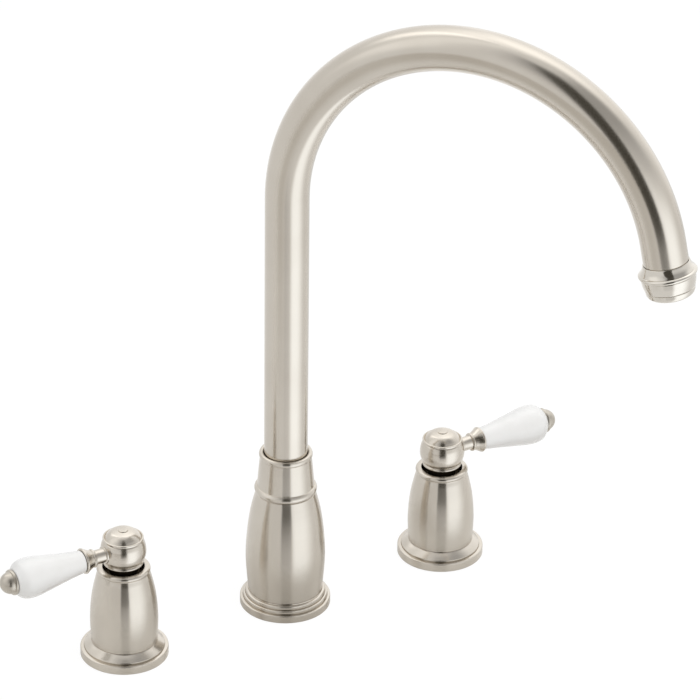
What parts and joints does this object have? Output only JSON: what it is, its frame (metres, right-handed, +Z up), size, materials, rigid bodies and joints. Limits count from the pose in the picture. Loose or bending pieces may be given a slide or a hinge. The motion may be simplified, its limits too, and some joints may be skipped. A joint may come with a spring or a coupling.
{
  "type": "mixer tap",
  "caption": "Three-part deck mixer tap with a swivelling swan-neck spout and quarter-turn lever valves with porcelain grips.",
  "frame": {"origin": "middle of the spout's base flange on the worktop surface", "axes": "+X along the row towards the user's right-hand valve, -Y towards the user, +Z up"},
  "size_m": [0.3658, 0.2295, 0.4737],
  "materials": {
    "brushed_nickel": "warm brushed nickel plate on brass",
    "polished_nickel": "polished nickel plate",
    "porcelain": "white glazed porcelain",
    "brass": "turned brass",
    "steel": "stainless steel",
    "rubber": "black rubber",
    "white_plastic": "white acetal",
    "disc_ceramic": "ground alumina"
  },
  "bodies": {
    "base": {"spout_bearing_washer": "white_plastic", "spout_grub_screw": "steel", "spout_body": "brushed_nickel", "spout_collar": "brushed_nickel", "spout_base_flange": "brushed_nickel", "spout_shank": "brass", "spout_rubber_washer": "rubber", "spout_steel_washer": "steel", "spout_backnut": "brass", "spout_tee": "brass", "base_gaskets": "rubber", "valve_rubber_washers": "rubber", "valve_steel_washers": "steel", "valve_backnuts": "brass", "left_base_flange": "brushed_nickel", "left_bell": "brushed_nickel", "left_valve_body": "brass", "left_riser_tube": "brass", "left_tail": "brass", "left_cartridge_body": "brass", "left_cartridge_seal": "rubber", "left_fixed_disc": "disc_ceramic", "right_base_flange": "brushed_nickel", "right_bell": "brushed_nickel", "right_valve_body": "brass", "right_riser_tube": "brass", "right_tail": "brass", "right_cartridge_body": "brass", "right_cartridge_seal": "rubber", "right_fixed_disc": "disc_ceramic"},
    "spout": {"spout_tube": "brushed_nickel", "spout_spigot": "brass", "spout_o_rings": "rubber", "outlet_nozzle": "polished_nickel", "aerator_shell": "polished_nickel", "aerator_insert": "white_plastic", "aerator_seal": "rubber"},
    "left_handle": {"left_moving_disc": "disc_ceramic", "left_spindle": "brass", "left_spindle_o_rings": "rubber", "left_handle_hub": "brushed_nickel", "left_hub_cap": "brushed_nickel", "left_handle_screw": "steel", "left_lever_stem": "brushed_nickel", "left_tie_rod": "steel", "left_grip": "porcelain", "left_grip_washers": "white_plastic", "left_finial": "brushed_nickel"},
    "right_handle": {"right_moving_disc": "disc_ceramic", "right_spindle": "brass", "right_spindle_o_rings": "rubber", "right_handle_hub": "brushed_nickel", "right_hub_cap": "brushed_nickel", "right_handle_screw": "steel", "right_lever_stem": "brushed_nickel", "right_tie_rod": "steel", "right_grip": "porcelain", "right_grip_washers": "white_plastic", "right_finial": "brushed_nickel"}
  },
  "joints": [
    {"name": "spout_swivel", "type": "hinge", "parent": "base", "child": "spout", "pos_m": [0, 0, 0.041], "axis": [0, 0, 1], "continuous": true},
    {"name": "left_handle_turn", "type": "hinge", "parent": "base", "child": "left_handle", "pos_m": [-0.106, 0, 0.066], "axis": [0, 0, 1], "range_deg": [0, 90]},
    {"name": "right_handle_turn", "type": "hinge", "parent": "base", "child": "right_handle", "pos_m": [0.106, 0, 0.066], "axis": [0, 0, -1], "range_deg": [0, 90]}
  ]
}
